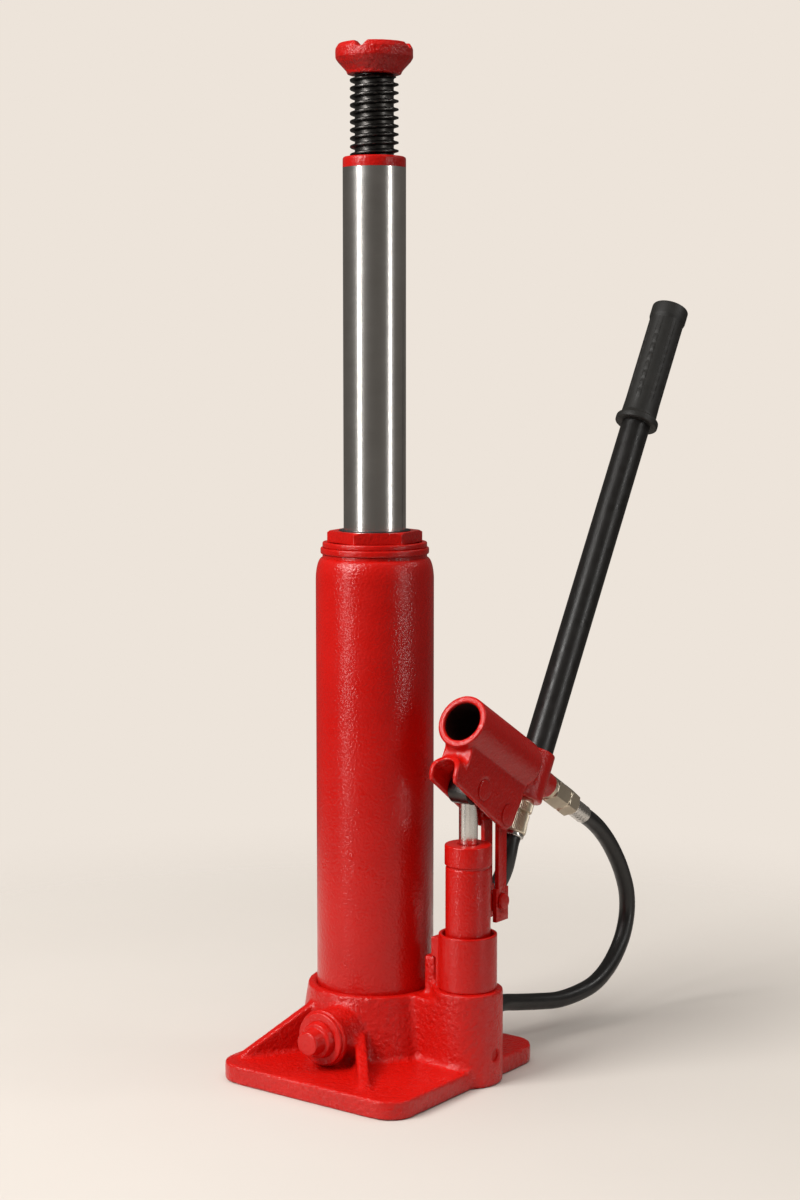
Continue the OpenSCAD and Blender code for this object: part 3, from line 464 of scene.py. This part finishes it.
def hose(name, node, route):
    """Rubber hose along its route, bending from the base to the rocker."""
    line = smooth_route(route)
    sides = HOSE_SIDES
    points, faces = [], []
    for i, spot in enumerate(line):
        ahead = (line[min(i + 1, len(line) - 1)] - line[max(i - 1, 0)]).normalized()
        side = ahead.cross(Vector((1, 0, 0))).normalized()
        up = side.cross(ahead)
        for k in range(sides):
            angle = TURN * k / sides
            points.append(spot + HOSE_R * (math.cos(angle) * side + math.sin(angle) * up))
    for i in range(len(line) - 1):
        for k in range(sides):
            a, b = i * sides + k, i * sides + (k + 1) % sides
            faces.append((a, b, b + sides, a + sides))
    faces.append(tuple(range(sides))[::-1])
    faces.append(tuple((len(line) - 1) * sides + k for k in range(sides)))
    piece = mesh_object(name, points, faces)
    piece.data.materials.append(HOSE_RUBBER)
    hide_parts(node)
    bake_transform(piece)
    return piece


hose("lower_hose_rubber", "lower_hose", LOWER_ROUTE)
hose("loop_hose_rubber", "loop_hose", LOOP_ROUTE)

# ---------------------------------------------------------------- base


def base():
    """The base casting, with sand-cast fillets and skin."""
    skin = casting("base_casting_skin", "base_casting", voxel=1.1, rounds=6, roughness=0.13,
                   fillet=3.5)
    finished(skin, "base", RED_CAST, "red_casting", "base_casting")


base()

# ---------------------------------------------------------------- rocker

SOCKET_BORE_R = SOCKET["dims"]["r_mm"]
SOCKET_DEPTH = SOCKET["dims"]["length_mm"]
BORE_LIP = 2.5
WALL_SLACK = 0.5
END_SLACK = 1


def rocker():
    """The rocker casting; the inside of the bore that the spare handle goes into is painted near-black
    as shade.
    """
    skin = casting("rocker_casting_skin", "rocker_socket", voxel=0.8, rounds=5, roughness=0.03,
                   fillet=2.5)
    finished(skin, "rocker", RED_FINE, "red_casting", "rocker_socket")
    # The faces inside the socket's bore take this near-black second material: painted shade
    skin.data.materials.append(BORE_PAINTED_SHADE)
    to_rocker = ROCKER.inverted()
    mouth = to_rocker @ Vector(SOCKET["pos_m"])
    for face in skin.data.polygons:
        spot = (to_rocker @ face.center - mouth) / MM
        deep = BORE_LIP < spot.y < SOCKET_DEPTH + END_SLACK
        near = math.hypot(spot.x, spot.z) < SOCKET_BORE_R + WALL_SLACK
        face.material_index = int(deep and near)


rocker()

# ---------------------------------------------------------------- saddle


def saddle():
    """The notched saddle, cast like the base."""
    skin = casting("saddle_skin", "saddle", voxel=0.6, rounds=8, roughness=0.10)
    finished(skin, "saddle", RED_CAST, "red_casting", "saddle")


saddle()

# ---------------------------------------------------------------- extension screw


def helical_screw():
    """Screw with a true helical thread and plain ends."""
    low, high = span("extension_screw")
    spigot, spigot_r = 14.0, 8.94
    root, crest, pitch = 15.4, 19.2, 6.4
    run_in, run_out = 4, 3
    ridge_height, ridge_slope = 1.35, 4.2
    top = high - spigot
    around, rows_per_turn = 96, 14
    rows = int((top - low) / pitch * rows_per_turn)
    points = []
    for row in range(rows + 1):
        z = low + (top - low) * row / rows
        fade = min(1, (z - low) / run_in, (top - z) / run_out)
        for k in range(around):
            phase = (z / pitch - k / around) % 1
            ridge = min(1, max(0, ridge_height - abs(phase - 0.5) * ridge_slope))
            ridge = ridge * ridge * (3 - 2 * ridge)
            r = root + (crest - root) * ridge * max(0, fade)
            angle = TURN * k / around
            points.append((r * math.cos(angle), r * math.sin(angle), z))
    for r, z in ((spigot_r, top), (spigot_r, high)):
        points += [(r * math.cos(TURN * k / around), r * math.sin(TURN * k / around), z)
                   for k in range(around)]
    faces = [tuple(range(around))[::-1]]
    for row in range(rows + 2):
        for k in range(around):
            a, b = row * around + k, row * around + (k + 1) % around
            faces.append((a, b, b + around, a + around))
    faces.append(tuple((rows + 2) * around + k for k in range(around)))
    return mesh_object("extension_screw_thread", points, faces)


finished(helical_screw(), "screw", DARK_STEEL, "dark_steel", "extension_screw")

# ---------------------------------------------------------------- turned and hexagonal pieces


def hexagon(flat, turn=0.0):
    """Shape of a hexagon with flats at this distance from the axis, its first corner at turn."""
    def shape(r, angle, z):
        return min(r, flat / math.cos((angle - turn) % (TURN / 6) - TURN / 12))
    return shape


def fluted(count, depth, low, high):
    """Shape with straight flutes between two heights."""
    def shape(r, angle, z):
        return r - depth * (0.5 + 0.5 * math.cos(count * angle)) if low < z < high else r
    return shape


def solid(outline):
    """Closes an outline on the axis."""
    return [(0, outline[0][1])] + outline + [(0, outline[-1][1])]


def ring(outline, bore):
    """Closes an outline on a bore."""
    return [(bore, outline[0][1], 0)] + outline + [(bore, outline[-1][1], 0), (bore, outline[0][1], 0)]


def reservoir():
    """The tank, its shoulder a quarter of an ellipse."""
    low, high = span("reservoir_tube")
    wall, neck, bore = 47.5, 42.0, 38.0
    shoulder, lip = 21.0, 3
    start = high - shoulder
    arc = [(neck + (wall - neck) * math.cos(a), start + (shoulder - lip) * math.sin(a), 0)
           for a in (math.radians(step) for step in range(0, 91, 5))]
    outline = ring([(wall, low), *arc, (neck, high)], bore)
    piece = lathe("reservoir_shell", outline, segments=192)
    finished(piece, "base", RED_SMOOTH, "red_tube", "reservoir_tube")


BEAD_BORE = 38


def bead(name, node, inner, outer, edge):
    """One of the two round beads under the gland nut."""
    low, high = span(node)
    outline = [(inner, low), (outer, low, edge), (outer, high, edge), (inner, high)]
    finished(lathe(name, ring(outline, BEAD_BORE), segments=192), "base", RED_FINE,
             "red_casting", node)


def gland():
    """The gland: two beads and the hexagon round the ram."""
    bead("tank_top_bead", "tank_top_ring", 41.6, 43.6, 1.6)
    bead("gland_bead", "gland_ring", 40, 42, 1.5)
    corner, turn, bore = 38.4, math.radians(-18.6), 28.55
    seat, top = span("gland_ring")[1], span("gland_nut")[1]
    head = [(corner, seat, 0.3), (corner, top - 1.3), (corner - 2.2, top), (29.4, top, 0.4),
            (28.6, top - 0.9, 0.3)]
    nut = lathe("gland_hexagon", ring(head, bore), segments=360,
                shape=hexagon(corner * math.cos(TURN / 12), turn), radius=0.5)
    finished(nut, "base", RED_FINE, "red_casting", "gland_nut")


def ram_top():
    """The red collar at the ram's top, bored for the extension screw."""
    low, high = span("ram_collar")
    ram_r, bore = 25, 19.62
    outline = [(ram_r, low, 0.2), (ram_r, high, 2.2), (19.8, high, 0.5)]
    finished(lathe("ram_collar_ring", ring(outline, bore), segments=160), "ram", RED_SMOOTH,
             "red_casting", "ram_collar")


YOKE_HEIGHT = 23


def pump_pieces():
    """The pump: cap, sleeve, cylinder and the rod with its dark yoke."""
    low, high = span("pump_cap")
    cap_r, bore = 18.7, 7.6
    outline = [(17.2, low), (17.4, low + 1.6), (cap_r, low + 2.6, 0.5), (cap_r, high, 1.4),
               (9.2, high, 0.4), (7.62, high - 1.5)]
    finished(lathe("pump_cap_shell", ring(outline, bore), PUMP, segments=160), "base", RED_SMOOTH,
             "red_casting", "pump_cap")
    finished(casting("pump_sleeve_skin", "pump_sleeve", 0.6, 4), "base", RED_FINE, "red_casting",
             "pump_sleeve")
    finished(casting("pump_cylinder_skin", "pump_cylinder", 0.6, 3), "base", RED_SMOOTH, "red_casting",
             "pump_cylinder")
    rod = finished(bevelled("plunger_rod", "pump_plunger", 0.8), "plunger", BRIGHT_STEEL,
                   "bright_steel", "pump_plunger")
    rod.data.materials.append(DARK_STEEL)
    yoke_foot = (span("pump_plunger")[1] - YOKE_HEIGHT) * MM
    for face in rod.data.polygons:
        face.material_index = int(face.center.z > yoke_foot)


def release_valve():
    """The release valve: stepped flange on the base and the stem that turns in it."""
    low, high = span("release_gland", VALVE)
    flange = [(21, high - 7, 0.3), (22.5, high - 7, 0.8), (22.5, high - 3.5, 1.2),
              (21, high - 3.2, 0.4), (21, high, 1.2), (6.2, high, 0.3)]
    seat = [(8, low, 0.3), (8, high - 7, 0.2)]
    finished(lathe("release_flange", ring(seat + flange, 5.56), VALVE, segments=160), "base", RED_FINE,
             "red_casting", "release_gland")
    low, high = span("release_valve_screw", VALVE)
    stem = [(5.5, low), (5.5, high - 16), (15, high - 16, 0.5), (13.6, high - 11, 1.0),
            (10.5, high - 10.6, 0.8), (9.6, high, 1.6)]
    finished(lathe("release_stem", solid(stem), VALVE, segments=160), "release_valve", RED_FINE,
             "red_casting", "release_valve_screw")


def link():
    """The link straps and the three round pins."""
    finished(bevelled("link_pair", "link_straps", 0.7), "link", RED_SMOOTH, "red_casting", "link_straps")
    finished(bevelled("link_foot_pin", "link_lower_pin", 0.6), "base", RED_SMOOTH, "red_casting",
             "link_lower_pin")
    finished(bevelled("fulcrum_pin_round", "fulcrum_pin", 0.5), "rocker", RED_SMOOTH, "red_casting",
             "fulcrum_pin")
    finished(bevelled("plunger_pin_round", "plunger_pin", 0.5), "rocker", RED_SMOOTH, "red_casting",
             "plunger_pin")


def coupling():
    """The knurled coupling under the tee and the collar on the lower hose."""
    low, high = span("knurled_coupling", HANDLE)
    wide, top = 9.6, 23.0
    waist = top - 14.0
    body = [(9.0, low, 0.4), (wide, low + 1), (wide, low + 4), (8.9, low + 11),
            (8.9, waist + 3.4, 0.4), (7.6, waist + 4, 0.2), (7.6, waist + 5.4, 0.2),
            (wide, waist + 6, 0.4), (wide, top - 1), (9.0, top + 1.9, 0.3), (5, top + 2, 0.1),
            (5, high)]
    flutes, flute_depth = 42, 0.55
    piece = lathe("coupling_body", solid(body), HANDLE, segments=252,
                  shape=fluted(flutes, flute_depth, low + 1.2, top - 1.2))
    finished(piece, "rocker", NICKEL, "nickel", "knurled_coupling")
    low, high = span("coupling_ring", HANDLE)
    outline = [(8.4, low), (8.8, low + 0.8), (8.8, high, 0.8)]
    finished(lathe("coupling_collar", solid(outline), HANDLE), "rocker", BRIGHT_STEEL,
             "bright_steel", "coupling_ring")


def swivel_nut():
    """The hexagonal swivel nut on the tee's port and the crimped ferrule behind it."""
    low, high = span("hose_swivel_nut", PORT)
    start, flat, wide = low + 8, 10.4, 12.0
    mid = start + 0.62 * (high - start)
    outline = [(5, low), (5, start, 0.1), (9.4, start, 0.5), (9.8, start + 4, 0.3),
               (wide, start + 5, 0.4), (wide, mid - 5), (10.0, mid - 3.5, 0.4),
               (10.0, mid - 1.5, 0.4), (wide, mid, 0.4), (wide, high - 6), (9.9, high - 4),
               (9.4, high - 2), (7.9, high)]
    piece = lathe("swivel_hexagon", solid(outline), PORT, segments=240, shape=hexagon(flat, TURN / 12))
    finished(piece, "rocker", NICKEL, "nickel", "hose_swivel_nut")
    low, high = span("hose_ferrule", PORT)
    sleeve_r, crimp_depth, crimp_step = 7.9, 0.5, 2.1
    crimps = [(sleeve_r - crimp_depth * (k % 2), low + 3 + crimp_step * k, 0.7) for k in range(8)]
    outline = [(7.4, low), (sleeve_r, low + 1.2), *crimps, (sleeve_r, high, 0.8)]
    finished(lathe("ferrule_sleeve", solid(outline), PORT), "rocker", BRIGHT_STEEL, "bright_steel",
             "hose_ferrule")


def grip():
    """Moulded grip: rim at the top, flange at the foot and rows of small raised bars."""
    low, high = span("hand_grip", HANDLE)
    pattern_low, pattern_high = low + 22, high - 26
    body, flange, step = 15.0, 18.6, 1.5
    bars_round, bar_pitch, bar_height = 8, 9, 0.45
    rows = [(body, z, 0) for z in
            (pattern_low + step * k for k in range(int((pattern_high - pattern_low) / step) + 1))]
    outline = [(14.5, low, 1), (flange, low, 1.4), (flange, low + 5.6, 1.6), (16.2, low + 6.6, 0.8),
               (body + 0.4, low + 9, 0.8), *rows, (body, high - 15, 0.6), (16, high - 12, 0.8),
               (16, high, 2.2), (9, high, 0.8), (8.6, high - 0.7, 0.3)]

    def bars(r, angle, z):
        if not pattern_low < z < pattern_high:
            return r
        across = math.sin(bars_round * angle)
        along = math.sin(TURN * (z - pattern_low) / bar_pitch)
        return r + bar_height * min(1, max(0, 4 * (across - 0.45))) * min(1, max(0, 4 * (along + 0.35)))

    piece = lathe("grip_moulding", solid(outline), HANDLE, segments=192, shape=bars)
    finished(piece, "rocker", GRIP_RUBBER, "grip_rubber", "hand_grip")


reservoir()
gland()
ram_top()
pump_pieces()
release_valve()
link()
coupling()
swivel_nut()
grip()

# ---------------------------------------------------------------- floor, light, world

BACKDROP = (0.847, 0.775, 0.701)
FLOOR_NEAR = 0.3
FLOOR_FAR = 0.95
FLOOR_SIZE = 8.0
FLOOR_DARK = (0.615, 0.573, 0.527)
FLOOR_PALE = (0.631, 0.588, 0.542)
BOUNCE = 0.12
LAMP_WHITE = (1, 0.985, 0.965)


def floor():
    """Pale floor that fades into the backdrop away from the object."""
    size = FLOOR_SIZE
    mesh = bpy.data.meshes.new("floor")
    mesh.from_pydata([(-size, -size, 0), (size, -size, 0), (size, size, 0), (-size, size, 0)], [],
                     [(0, 1, 2, 3)])
    ground = bpy.data.objects.new("floor", mesh)
    bpy.context.collection.objects.link(ground)
    shade = Shade("floor_paper", Roughness=0.8, IOR=1.4)
    shade.colour(shade.ramp(shade.noise(3, 3), (0.3, FLOOR_DARK), (0.7, FLOOR_PALE)))
    shade.normal(shade.bump(shade.noise(400, 3), 0.15, 0.0002))
    reach = shade.tree.nodes.new("ShaderNodeVectorMath")
    reach.operation = "LENGTH"
    shade.link(shade.place, reach.inputs[0])
    fade = shade.tree.nodes.new("ShaderNodeMapRange")
    fade.interpolation_type = "SMOOTHSTEP"
    fade.inputs["From Min"].default_value = FLOOR_NEAR
    fade.inputs["From Max"].default_value = FLOOR_FAR
    shade.link(reach.outputs["Value"], fade.inputs["Value"])
    clear = shade.tree.nodes.new("ShaderNodeBsdfTransparent")
    mix = shade.tree.nodes.new("ShaderNodeMixShader")
    shade.link(fade.outputs["Result"], mix.inputs["Fac"])
    shade.link(shade.shader.outputs["BSDF"], mix.inputs[1])
    shade.link(clear.outputs["BSDF"], mix.inputs[2])
    shade.link(mix.outputs["Shader"], shade.tree.nodes["Material Output"].inputs["Surface"])
    mesh.materials.append(shade.material)


def from_camera(right, towards, up):
    """A point given as seen from the camera: right of the jack, towards the camera and up, in m."""
    c, s = math.cos(CAMERA_TURN), math.sin(CAMERA_TURN)
    return Vector((right * c + towards * s, right * s - towards * c, up))


def lamp(name, kind, place, aim, power, colour=LAMP_WHITE, size=None, spread=None):
    """A sun by its spread in degrees, or a rectangular area light by its size in m."""
    data = bpy.data.lights.new(name, kind)
    data.energy = power
    data.color = colour
    if kind == "AREA":
        data.shape = "RECTANGLE"
        data.size, data.size_y = size
    else:
        data.angle = math.radians(spread)
    light = bpy.data.objects.new(name, data)
    bpy.context.collection.objects.link(light)
    light.location = place
    light.rotation_euler = (Vector(aim) - Vector(place)).to_track_quat("-Z", "Y").to_euler()
    return light


def lights():
    """Soft sun overhead, key from the left, a kicker and two reflection strips."""
    aim = (0, 0, 0.4)
    overhead = lamp("overhead", "SUN", from_camera(-0.15, 0.1, 2.4), (0, 0, 0), 2.05, spread=78)
    overhead.visible_glossy = False
    lamp("key", "AREA", from_camera(-1.5, 0.95, 1.7), (0, 0, 0.3), 52, size=(1.1, 1.1))
    lamp("right_kicker", "AREA", from_camera(1.6, -0.05, 1.5), (0, 0, 0.4), 4, size=(0.25, 0.25))
    # Narrow strips that only show as reflections down the ram
    for name, right, towards, width, power in (("left_strip", -1.33, 0.9, 0.13, 9),
                                               ("right_strip", 1.38, 0.82, 0.09, 6)):
        strip = lamp(name, "AREA", from_camera(right, towards, 0.6), aim, power, size=(width, 1.6))
        strip.visible_diffuse = False


def world():
    """The backdrop as the camera sees it; dimmer for the light it gives."""
    scene_world = bpy.data.worlds.new("studio")
    bpy.context.scene.world = scene_world
    scene_world.use_nodes = True
    tree = scene_world.node_tree
    background = tree.nodes["Background"]
    background.inputs["Color"].default_value = (*BACKDROP, 1)
    rays = tree.nodes.new("ShaderNodeLightPath")
    strength = tree.nodes.new("ShaderNodeMapRange")
    strength.inputs["To Min"].default_value = BOUNCE
    strength.inputs["To Max"].default_value = 1.0
    tree.links.new(rays.outputs["Is Camera Ray"], strength.inputs["Value"])
    tree.links.new(strength.outputs["Result"], background.inputs["Strength"])


floor()
lights()
world()
bpy.context.scene.view_settings.view_transform = "Standard"
